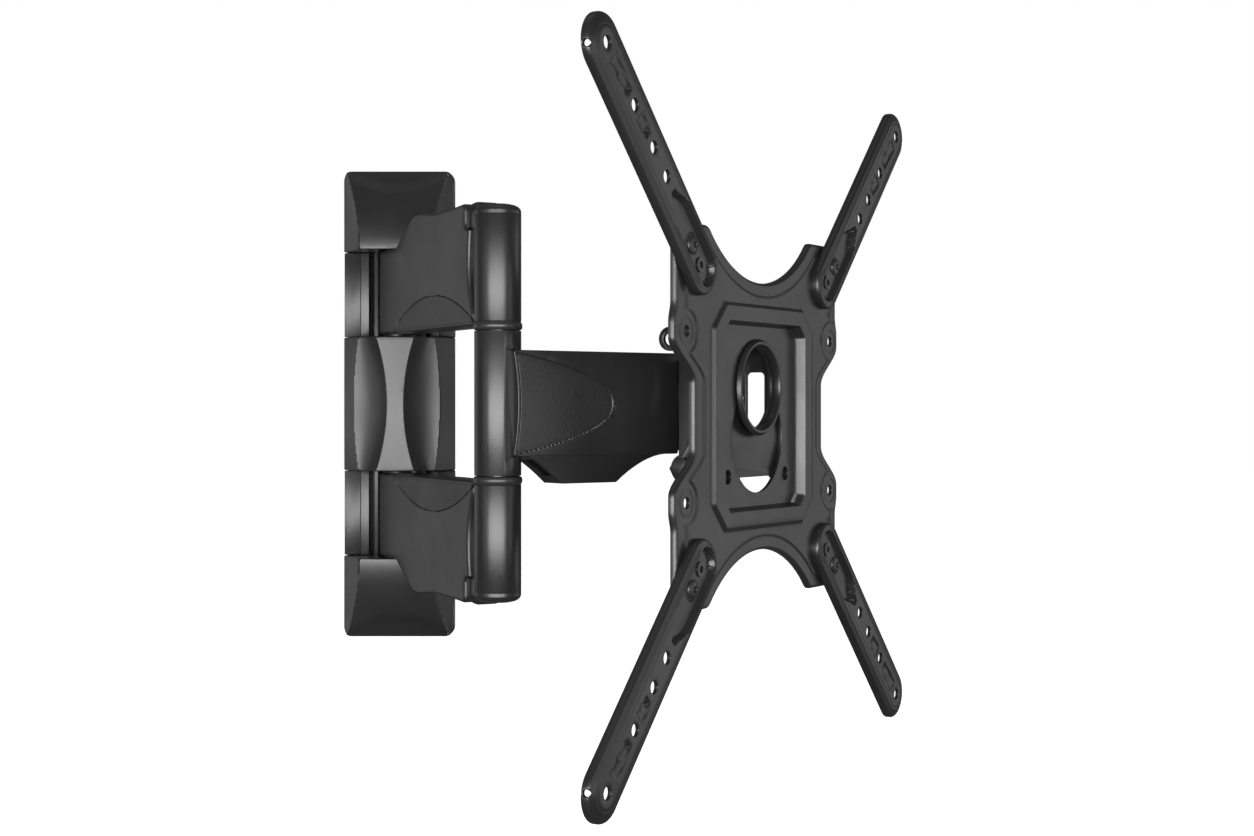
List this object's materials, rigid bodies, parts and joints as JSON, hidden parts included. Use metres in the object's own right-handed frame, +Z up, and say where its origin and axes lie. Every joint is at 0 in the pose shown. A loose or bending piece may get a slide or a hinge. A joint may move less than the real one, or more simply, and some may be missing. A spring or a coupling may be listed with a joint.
{
  "type": "full motion screen wall mount",
  "caption": "Folding wall mount for a flat screen: wall bracket, stacked inner arms, an outer arm, a swivel and tilt head, and a plate with diagonal screen arms, shown part open.",
  "frame": {"origin": "middle of the wall face, where the bracket's back meets the wall", "axes": "+Z up, +Y into the wall, +X to the right as seen from the room"},
  "size_m": [0.3952, 0.3763, 0.4336],
  "materials": {
    "black_steel": "fine black powder coat",
    "black_plastic": "satin black moulding",
    "grained_plastic": "leather grained black moulding",
    "nylon": "dark nylon",
    "zinc_steel": "zinc plated",
    "dark_fasteners": "black oxide"
  },
  "bodies": {
    "wall_bracket": {"wall_plate": "black_steel", "side_rails": "black_steel", "pivot_channel": "black_steel", "pivot_ears": "black_steel", "top_cap": "black_plastic", "centre_cover": "black_plastic", "bottom_cap": "black_plastic", "wall_pivot_pins": "zinc_steel", "pivot_clips": "zinc_steel"},
    "inner_arm": {"upper_arm_frame": "black_steel", "lower_arm_frame": "black_steel", "upper_arm_left_cover": "black_plastic", "upper_arm_right_cover": "black_plastic", "lower_arm_left_cover": "black_plastic", "lower_arm_right_cover": "black_plastic", "upper_arm_inlays": "grained_plastic", "lower_arm_inlays": "grained_plastic", "arm_bushes": "nylon", "upper_post": "black_steel", "lower_post": "black_steel", "post_caps": "black_plastic", "elbow_spindle": "zinc_steel", "elbow_rings": "nylon"},
    "outer_arm": {"elbow_barrel": "black_steel", "elbow_bushes": "nylon", "outer_arm_beam": "black_steel", "outer_arm_front_cover": "black_plastic", "outer_arm_back_cover": "black_plastic", "outer_arm_inlay": "grained_plastic", "cable_cover": "black_plastic", "head_barrel": "black_steel", "head_bushes": "nylon"},
    "swivel_head": {"head_pin": "zinc_steel", "head_pin_nut": "zinc_steel", "head_yoke": "black_steel", "tilt_bolt": "dark_fasteners", "tilt_nut": "dark_fasteners"},
    "tilt_head": {"tilt_bracket": "black_steel", "tilt_washers": "zinc_steel", "hanger_plate": "black_steel", "level_collar": "black_steel", "level_screws": "dark_fasteners"},
    "screen_carrier": {"screen_plate": "black_steel", "screen_arm_top_near": "black_steel", "screen_arm_top_far": "black_steel", "screen_arm_bottom_near": "black_steel", "screen_arm_bottom_far": "black_steel", "arm_bolts": "dark_fasteners", "arm_rivets": "dark_fasteners", "arm_nuts": "dark_fasteners"}
  },
  "joints": [
    {"name": "wall_swivel", "type": "hinge", "parent": "wall_bracket", "child": "inner_arm", "pos_m": [0, -0.042, 0], "axis": [0, 0, 1], "range_deg": [-87, 32]},
    {"name": "elbow_swivel", "type": "hinge", "parent": "inner_arm", "child": "outer_arm", "pos_m": [0.07843, -0.19395, 0], "axis": [0, 0, 1], "range_deg": [-120, 45]},
    {"name": "head_swivel", "type": "hinge", "parent": "outer_arm", "child": "swivel_head", "pos_m": [0.19418, -0.1083, 0], "axis": [0, 0, -1], "range_deg": [-90, 8]},
    {"name": "screen_tilt", "type": "hinge", "parent": "swivel_head", "child": "tilt_head", "pos_m": [0.20796, -0.11644, -0.0405], "axis": [0.509, 0.8607, 0], "range_deg": [-4, 15]},
    {"name": "screen_level", "type": "hinge", "parent": "tilt_head", "child": "screen_carrier", "pos_m": [0.23808, -0.13426, 0.0101], "axis": [0.8607, -0.509, 0], "range_deg": [-3, 3]}
  ]
}
